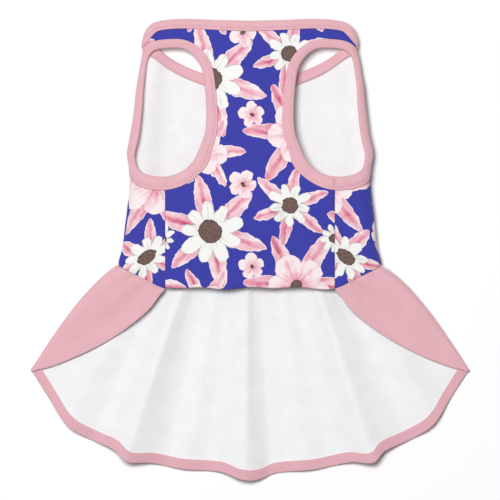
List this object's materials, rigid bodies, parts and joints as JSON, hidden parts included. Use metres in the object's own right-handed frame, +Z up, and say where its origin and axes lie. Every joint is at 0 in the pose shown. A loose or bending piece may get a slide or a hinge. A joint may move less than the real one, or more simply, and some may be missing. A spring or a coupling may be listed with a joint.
{
  "type": "dog dress",
  "caption": "Sleeveless knit dog dress with bound neck and leg openings and a flared skirt sewn round the back of the waist, laid flat with its belly side up.",
  "frame": {"origin": "middle of the dress's outline on the surface it lies on", "axes": "+Y towards the neck, +X across the dress, +Z up from the surface to the belly side"},
  "size_m": [0.3766, 0.3958, 0.0268],
  "materials": {
    "printed_knit": "matt smooth knit, royal blue with a white and pink flower print outside, white inside",
    "binding_knit": "matt fine rib knit, light pink",
    "skirt_knit": "matt smooth knit, light pink outside, white inside"
  },
  "bodies": {
    "root": {"belly_panel": "printed_knit", "back_panel": "printed_knit", "neck_binding": "binding_knit", "arm_binding_left": "binding_knit", "arm_binding_right": "binding_knit", "skirt": "skirt_knit", "skirt_hem": "skirt_knit"}
  },
  "joints": []
}
